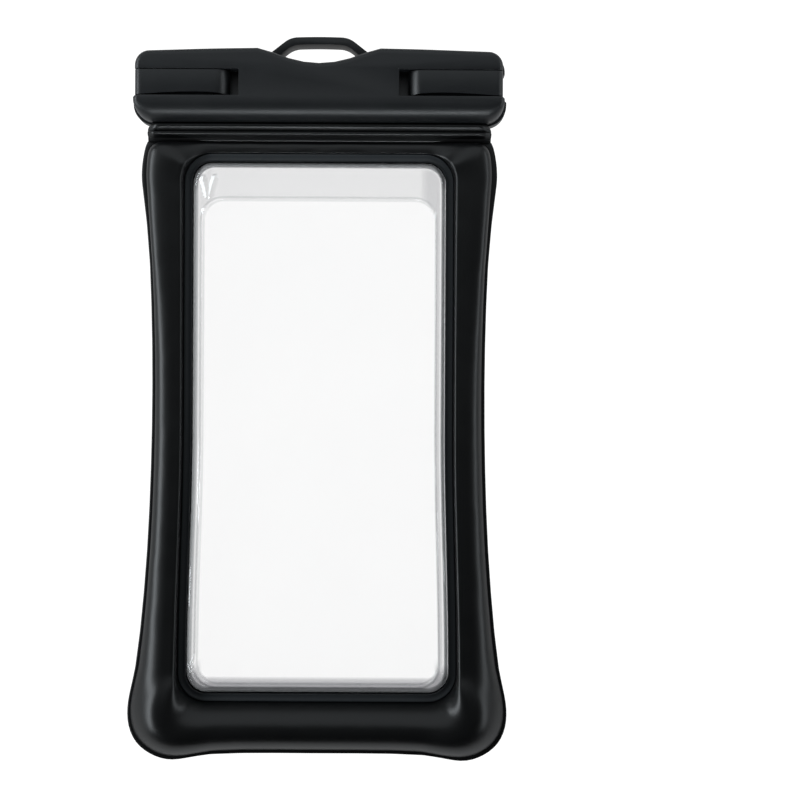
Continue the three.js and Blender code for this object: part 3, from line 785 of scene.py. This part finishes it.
class POUCH_OT_air_frame(bpy.types.Operator):
    """Makes the two halves of the inflated frame, with weld bands and flanges"""

    bl_idname = "pouch.air_frame"
    bl_label = "Air frame"

    # The extra flange at the upper ears: how far below the top it is widest, and its spread
    EAR_DEPTH = 0.013
    EAR_SPREAD = 0.014
    # The Y part of the outward direction, from the bottom to the sides
    ASIDE = (-0.95, -0.1)
    # The place along Y, from the lower part of the tube to the upper
    UPPER = (-0.005, 0.055)
    # Widths of the tube between which its section changes
    NARROW = 0.009
    WIDE = 0.017
    WIDEST = 0.026
    STEEPENING = (0.012, 0.018)
    # Powers and roots of both slopes, where the tube is narrow and where it is wide
    OUTER_POWERS = (2, 1.5)
    OUTER_ROOTS = (0.42, 0.8)
    INNER_POWERS = (9, 2.2)
    INNER_ROOTS = (0.3, 0.85)
    # Root of the outer slope in the upper part of the sides
    UPPER_ROOT = 0.2
    STEPS = 34
    # Height of the puckers along the welds
    PUCKER = 0.00016
    # How strongly the weld band takes its grey, which is partly its own finish and partly painted
    # light, and how far above the band that reaches
    WELD_GREY_AND_LIGHT_SHARE = 0.85
    WELD_REACH = 0.0005

    def execute(self, context):
        sizes, colours = context.scene.pouch_sizes, context.scene.pouch_colours
        material = shared(black_tpu, "calendered_black_tpu", colours.tpu_black)
        stations = window_stations(sizes)
        reaches = flange_reach(stations)
        ends = self.cushion_ends(sizes, stations, reaches)
        full = AIR_HIGH.z - MIDDLE
        ease = 1 - math.exp(-(max(ends) - sizes.lip) / sizes.span)
        for side, node in ((1, "front_air_frame"), (-1, "rear_air_frame")):
            sections, weld_greys_and_light = [], []
            for k, (station, reach, end) in enumerate(zip(stations, reaches, ends)):
                x, y, dx, dy = station
                height = full * (1 - math.exp(-(end - sizes.lip) / sizes.span)) / ease
                # How far the tube has turned from the bottom, and how far up the pouch it is
                aside = smooth(*self.ASIDE, dy)
                upper = smooth(*self.UPPER, y)
                edge = reach - sizes.corner
                section = self.section(sizes, edge, end, height, aside, upper, k, side)
                points = []
                for distance, level in section:
                    out = sizes.corner + distance
                    points.append((x + dx * out, y + dy * out, MIDDLE + side * level))
                    # The weld band gets its grey, partly painted light that stands in for the light
                    # the tubes block
                    banded = distance < sizes.lip and level < sizes.lip_rise + self.WELD_REACH
                    weld_greys_and_light.append(self.WELD_GREY_AND_LIGHT_SHARE if banded else 0.0)
                sections.append(points)
            obj = loft_ring(node.replace("_frame", "_cushion"), sections)
            obj.data.attributes.new("weld", "FLOAT", "POINT").data.foreach_set("value", weld_greys_and_light)
            outward(obj)
            finish_piece(obj, material, node, BODY, BLACK_FILM_ANGLE)
        return {"FINISHED"}

    def cushion_ends(self, sizes, stations, reaches):
        """Distance of the tube's outer weld from the opening, at each station."""
        top = AIR_HIGH.y
        ends = []
        for (x, y, dx, dy), reach in zip(stations, reaches):
            from_ear = (y + dy * reach - top + self.EAR_DEPTH) / self.EAR_SPREAD
            flange = sizes.flange + sizes.ear_flange * math.exp(-from_ear * from_ear)
            end = reach - sizes.corner - flange
            if dy > 0:
                end = min(end, (top - sizes.top_flange - y) / dy - sizes.corner)
            ends.append(end)
        return even_out(ends, 4)

    def section(self, sizes, edge, end, height, aside, upper, k, side):
        """One closed section of the ring: distance from the opening, and height."""
        flat = 0.00004
        flange = HALF_GAP + sizes.film
        lip, rise = sizes.lip, sizes.lip_rise
        # Out under the tube, round the welded edge and back over the flange
        points = [
            (lip, flat),
            (edge - 0.00008, flat),
            (edge, flat + 0.0001),
            (edge, flange - 0.0001),
            (edge - 0.00012, flange),
            (mix(end, edge, 0.3), flange),
        ]
        for i in range(self.STEPS + 1):
            share = (1 - math.cos(math.pi * i / self.STEPS)) / 2
            base = mix(flange, rise - 0.0007, share)
            bulge = self.bulge(sizes, share, end - lip, aside, upper)
            # Small puckers run out from both welds and die away on the tube
            near = max(0.0, 1 - abs(share - 0.5) * 2)
            pucker = noise.noise(Vector((k * 0.16, side * 7.3, share * 1.5)))
            swell = self.PUCKER * pucker * (1 - near) * min(1, bulge * 3)
            points.append((mix(end, lip, share), base + (height - base) * bulge + swell))
        # Over the band, which has a bead at each edge, and back under it
        points += [
            (lip - 0.00004, rise - 0.00025),
            (lip - 0.0002, rise + 0.00003),
            (lip - 0.0004, rise + 0.00012),
            (lip - 0.0008, rise),
            (mix(lip, 0, 0.5), rise - 0.00004),
            (0.00055, rise),
            (0.00038, rise + 0.00016),
            (0.00012, rise + 0.00012),
            (0, rise - 0.0001),
            (0, rise - sizes.film),
            (lip, rise - sizes.film),
        ]
        return points

    def bulge(self, sizes, share, width, aside, upper):
        """How full the tube is, from 0 at its welds to 1 at its crest: a long slope outwards,
        fuller where the tube is narrow, and a short one inwards, gentler along the wide bottom."""
        crest = mix(sizes.low_crest, sizes.crest, aside)
        wide = smooth(self.NARROW, self.WIDE, width)
        if share < crest:
            away = (crest - share) / crest
            power = mix(*self.OUTER_POWERS, aside * smooth(*self.STEEPENING, width))
            wide += 0.5 * smooth(self.WIDE, self.WIDEST, width)
            root = mix(mix(*self.OUTER_ROOTS, wide), self.UPPER_ROOT, upper * aside)
        else:
            away = (share - crest) / (1 - crest)
            wide *= 1 - aside
            power = mix(*self.INNER_POWERS, wide)
            root = mix(*self.INNER_ROOTS, wide)
        return (1 - away**power) ** root


class POUCH_OT_windows(bpy.types.Operator):
    """Makes the front and rear windows, with their trays, raised middles and ripples"""

    bl_idname = "pouch.windows"
    bl_label = "Windows"

    # Spacing of the film's grid beside the wall, in the tray and in the middle, and how far in
    # the first two reach
    SPACINGS = (0.0003, 0.0004, 0.0011)
    REACHES = (0.0035, 0.015)
    # How far in from the band the wall starts and ends, and the width of the rim after it
    WALL_START = 0.0001
    WALL_END = 0.0011
    RIM_WIDTH = 0.0008
    # How far the rim falls below the tray, and how near the top or the bottom it does so
    FRONT_RIM = 0.00048
    REAR_RIM = 0.0002
    RIM_NEAR = (0.014, 0.006)
    # Room above the film for its ripples
    ROOM = 0.0002
    # How far the tray lies below the raised middle, and its width at the sides, the bottom and
    # the top
    TRAY_DROP = 0.0006
    TRAY_SIDE = 0.003
    TRAY_BOTTOM = 0.0022
    TRAY_TOP = 0.0124
    # Radius of the raised middle's corners, and the slope at its edge, measured inwards
    RAISED_CORNER = 0.0076
    STEP = (-0.0003, 0.0005)
    # How far in from the band the ripples and the creases grow to their full height
    RIPPLES_GROW = (0.0012, 0.004)
    CREASES_GROW = (0.0006, 0.0016)
    # Depth over which the long ripples fade from there
    RIPPLES_FADE = 0.009
    # Painted shade in the tray and on its sides, and how much darker that is on the right
    TRAY_PAINTED_SHADE = 0.2
    SIDE_PAINTED_SHADE = 0.28
    RIGHT_PAINTED_SHADE = 0.17
    RIGHTWARDS = (-0.03, 0.03)
    # Where the sides' painted shade starts, from the middle line and from the band
    SIDES_FROM_MIDDLE = (0.032, 0.038)
    SIDES_FROM_BAND = (0.0016, 0.0022)
    # Strips of painted shade along the top and the bottom weld: how far in each fades, and how near
    # its end
    TOP_PAINTED_SHADE_STRIP = (0.0017, 0.001)
    BOTTOM_PAINTED_SHADE_STRIP = (0.005, 0.0036)
    PAINTED_SHADE_NEAR = (0.012, 0.004)
    # Creases beside the walls: the corner they are measured from, both ends from it, and their
    # half width, in mm
    CREASES = (
        ((-1, 1), (3.6, 4.6), (5.6, 13.2), 1.5),
        ((-1, 1), (5.8, 13.2), (8.4, 4.4), 1.5),
        ((-1, -1), (5.2, 17.0), (2.8, 9.6), 1.3),
        ((-1, -1), (2.8, 9.4), (5.4, 6.0), 1.5),
        ((-1, -1), (5.2, 5.6), (9.6, 2.8), 1.2),
        ((1, -1), (3.4, 9.0), (6.2, 4.4), 1.0),
    )
    # How far a crease wanders to its sides
    WANDER = 0.0002
    # Shares of a crease's length between which it opens and closes
    CREASE_OPENS = (-0.08, 0.14)
    CREASE_CLOSES = (1.08, 0.86)

    def execute(self, context):
        sizes, colours = context.scene.pouch_sizes, context.scene.pouch_colours
        material = shared(clear_tpu, "calendered_clear_tpu", colours.clear)
        width, height = 2 * WINDOW_HIGH.x, WINDOW_HIGH.y - WINDOW_LOW.y
        across, up = self.graded(width, sizes.lap), self.graded(height, sizes.lap)
        for side, node in ((1, "front_window"), (-1, "rear_window")):
            vertices, faces, painted_shades = [], [], []
            for v in up:
                y = WINDOW_LOW.y + v
                flare = window_flare(sizes, y)
                for u in across:
                    x = (u - width / 2) * (1 - (sizes.flare - flare) / WINDOW_HIGH.x)
                    level, painted_shade = self.level_and_painted_shade(sizes, x, y, flare, side)
                    vertices.append((x, y, MIDDLE + side * level))
                    painted_shades.append(painted_shade)
            wide = len(across)
            for r in range(len(up) - 1):
                for c in range(wide - 1):
                    a = r * wide + c
                    faces.append((a, a + 1, a + wide + 1, a + wide))
            obj = object_from(node.replace("_window", "_clear_film"), vertices, faces)
            # The painted shade is kept on the film's points
            obj.data.attributes.new("painted_shade", "FLOAT", "POINT").data.foreach_set("value", painted_shades)
            if side < 0:
                obj.data.flip_normals()
            thicken(obj, sizes.film, -1)
            finish_piece(obj, material, node, BODY, CLEAR_FILM_ANGLE)
        return {"FINISHED"}

    def graded(self, total, lap):
        """Places from 0 to the total, close together beside the walls and wider in the middle."""
        fine, medium, coarse = self.SPACINGS
        fine_reach, medium_reach = self.REACHES
        places = [0.0]
        while places[-1] < total / 2 - fine:
            depth = places[-1] - lap
            if depth < fine_reach:
                step = fine
            elif depth < medium_reach:
                step = medium
            else:
                step = coarse
            places.append(places[-1] + step)
        places[-1] = total / 2
        return places + [total - place for place in reversed(places[:-1])]

    def level_and_painted_shade(self, sizes, x, y, flare, side):
        """Height of the film's outer face over the middle plane, and how much painted shade the
        film carries.
        """
        low, high = WINDOW_LOW.y + sizes.lap, WINDOW_HIGH.y - sizes.lap
        half = WINDOW_HIGH.x - sizes.lap - sizes.flare + flare
        depth = inside_rounded(x, y, half, low, high, sizes.corner)
        raised = inside_rounded(
            x, y, half - self.TRAY_SIDE, low + self.TRAY_BOTTOM, high - self.TRAY_TOP,
            self.RAISED_CORNER,
        )
        lifted = smooth(*self.STEP, raised)
        weld = sizes.lip_rise - sizes.film - 2 * HALF_GAP
        top = WINDOW_HIGH.z - MIDDLE - self.ROOM
        tray = top - self.TRAY_DROP
        # A steep wall, then a slanted rim along the top and the bottom of the tray
        to_end = min(high - y, y - low)
        rim = (self.FRONT_RIM if side > 0 else self.REAR_RIM) * smooth(*self.RIM_NEAR, to_end)
        level = mix(weld, tray - rim, smooth(self.WALL_START, self.WALL_END, depth))
        level += rim * min(1.0, max(0.0, (depth - self.WALL_END) / self.RIM_WIDTH))
        level += (top - tray) * lifted
        level += self.ripples(sizes, x, y, depth, side) * smooth(*self.RIPPLES_GROW, depth)
        if side > 0:
            crease = self.crease(sizes, x, y, half, low, high)
            level += crease * smooth(*self.CREASES_GROW, depth)
        # Painted shade: grey beside the raised middle, darker on the right, and along the top and
        # bottom welds
        side_painted_shade = self.SIDE_PAINTED_SHADE + self.RIGHT_PAINTED_SHADE * smooth(*self.RIGHTWARDS, x)
        side_painted_shade *= smooth(*self.SIDES_FROM_MIDDLE, abs(x)) * smooth(*self.SIDES_FROM_BAND, depth)
        top_painted_shade = smooth(*self.TOP_PAINTED_SHADE_STRIP, depth) * smooth(*self.PAINTED_SHADE_NEAR, high - y)
        bottom_painted_shade = smooth(*self.BOTTOM_PAINTED_SHADE_STRIP, depth) * smooth(*self.PAINTED_SHADE_NEAR, y - low)
        tray_painted_shade = max(self.TRAY_PAINTED_SHADE, side_painted_shade) * (1 - lifted)
        painted_shade = max(tray_painted_shade, top_painted_shade, bottom_painted_shade)
        return min(level, WINDOW_HIGH.z - MIDDLE), painted_shade

    def ripples(self, sizes, x, y, depth, side):
        """Long ripples, highest beside the walls, and a slow wave all over."""
        near = math.exp(-max(0, depth) / self.RIPPLES_FADE)
        ripple = noise.noise(Vector((x * 110, y * 22, side * 5.1)))
        slow = noise.noise(Vector((x * 26, y * 16, side * 2.7)))
        return sizes.ripple * (0.75 * ripple * (0.25 + near) + 0.8 * slow)

    def crease(self, sizes, x, y, half, low, high):
        """How far the creases lift the film."""
        place = Vector((x, y))
        lift = 0.0
        for (right, up), first, last, wide in self.CREASES:
            corner = Vector((half * right, high if up > 0 else low))
            inwards = Vector((-right, -up)) / 1000
            a = corner + Vector(first) * inwards
            b = corner + Vector(last) * inwards
            along = (place - a).dot(b - a) / (b - a).length_squared
            if self.CREASE_OPENS[0] < along < self.CREASE_CLOSES[0]:
                wander = noise.noise(Vector((along * 2, wide * 9, 0))) * self.WANDER
                away = abs((place - a - (b - a) * along).length + wander)
                opening = smooth(*self.CREASE_OPENS, along) * smooth(*self.CREASE_CLOSES, along)
                lift = max(lift, sizes.crease * (wide / 1000 * opening - away))
        return lift


class POUCH_PT_sidebar(bpy.types.Panel):
    """Lists the steps that build the pouch"""

    bl_idname = "POUCH_PT_sidebar"
    bl_label = "Phone pouch"
    bl_space_type = "VIEW_3D"
    bl_region_type = "UI"
    bl_category = "Pouch"

    def draw(self, context):
        for operator in OPERATORS:
            self.layout.operator(operator.bl_idname)
        for group in (context.scene.pouch_sizes, context.scene.pouch_colours):
            for name in group.bl_rna.properties.keys():
                if name not in ("rna_type", "name"):
                    self.layout.prop(group, name)


OPERATORS = (
    POUCH_OT_stage,
    POUCH_OT_clamp,
    POUCH_OT_latches,
    POUCH_OT_pins,
    POUCH_OT_mouth,
    POUCH_OT_air_frame,
    POUCH_OT_windows,
)
CLASSES = (PouchSizes, PouchColours, *OPERATORS, POUCH_PT_sidebar)


def register():
    for item in CLASSES:
        bpy.utils.register_class(item)
    bpy.types.Scene.pouch_sizes = PointerProperty(type=PouchSizes)
    bpy.types.Scene.pouch_colours = PointerProperty(type=PouchColours)


def unregister():
    del bpy.types.Scene.pouch_colours
    del bpy.types.Scene.pouch_sizes
    for item in reversed(CLASSES):
        bpy.utils.unregister_class(item)


def main():
    register()
    bpy.ops.pouch.stage()
    bpy.ops.pouch.clamp()
    bpy.ops.pouch.latches()
    bpy.ops.pouch.pins()
    bpy.ops.pouch.mouth()
    bpy.ops.pouch.air_frame()
    bpy.ops.pouch.windows()


if __name__ == "__main__":
    main()
